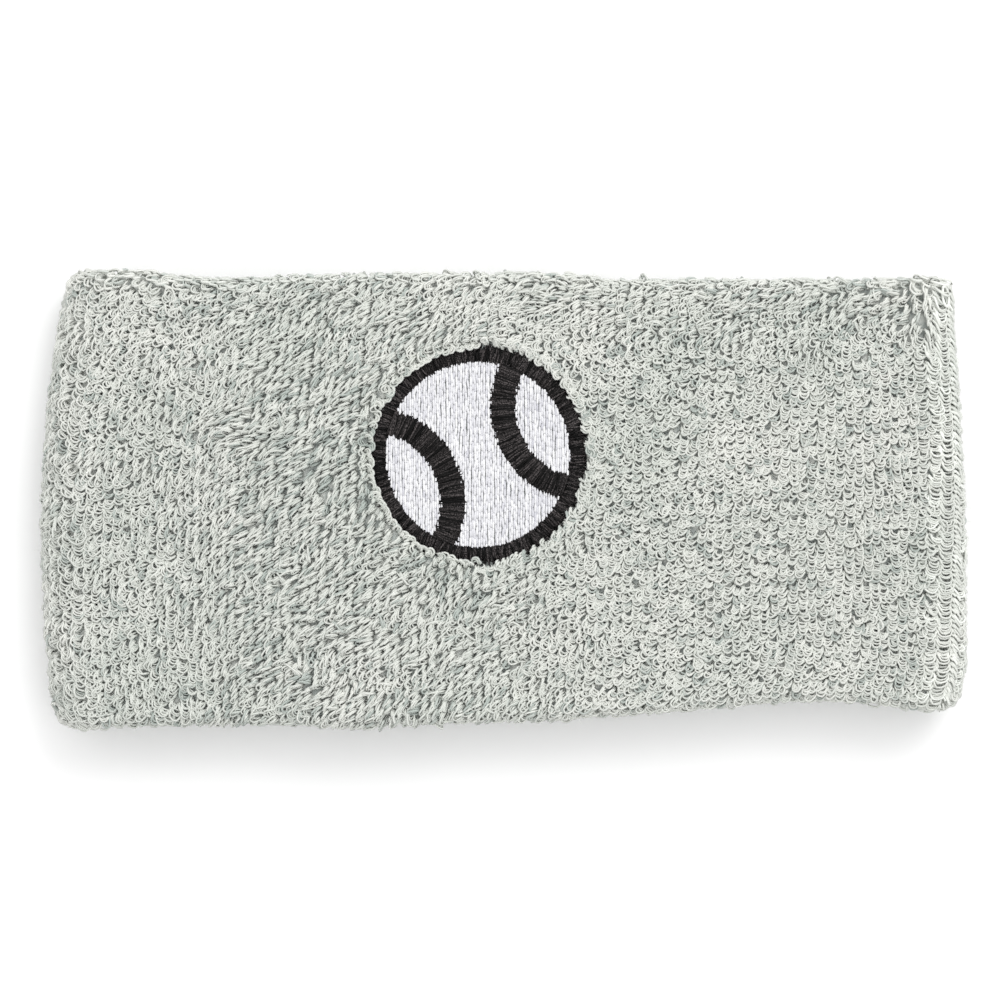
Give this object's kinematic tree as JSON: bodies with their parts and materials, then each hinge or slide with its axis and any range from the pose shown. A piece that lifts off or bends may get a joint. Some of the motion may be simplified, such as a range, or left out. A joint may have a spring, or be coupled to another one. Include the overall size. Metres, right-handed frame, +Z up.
{
  "type": "sports headband",
  "caption": "Wide terry-towelling sweatband ring lying flat, with a round embroidered ball badge on its front panel.",
  "frame": {"origin": "middle of the underside, on the surface that the band lies on", "axes": "+X along the flattened ring, towards the closing seam; +Y across the band, towards the hem above the badge; +Z up, out of the front panel that has the badge"},
  "size_m": [0.184, 0.09, 0.018],
  "materials": {
    "heather_terry": "cotton terry loops, heather grey, matt",
    "inner_terry": "cotton terry loops on the skin side, heather grey, matt",
    "elastane": "covered elastic yarn, satin",
    "cotton_thread": "grey sewing thread, matt",
    "white_thread": "white embroidery thread, silky",
    "black_thread": "black embroidery thread, silky",
    "nonwoven": "white non-woven backing, matt"
  },
  "bodies": {
    "root": {"outer_ply": "heather_terry", "inner_ply": "inner_terry", "outer_elastic_yarns": "elastane", "inner_elastic_yarns": "elastane", "closing_seam_thread": "cotton_thread", "inner_join_thread": "cotton_thread", "badge_fill": "white_thread", "badge_border": "black_thread", "badge_ball_seam_left": "black_thread", "badge_ball_seam_right": "black_thread", "badge_backing": "nonwoven", "badge_bobbin_thread": "white_thread"}
  },
  "joints": []
}
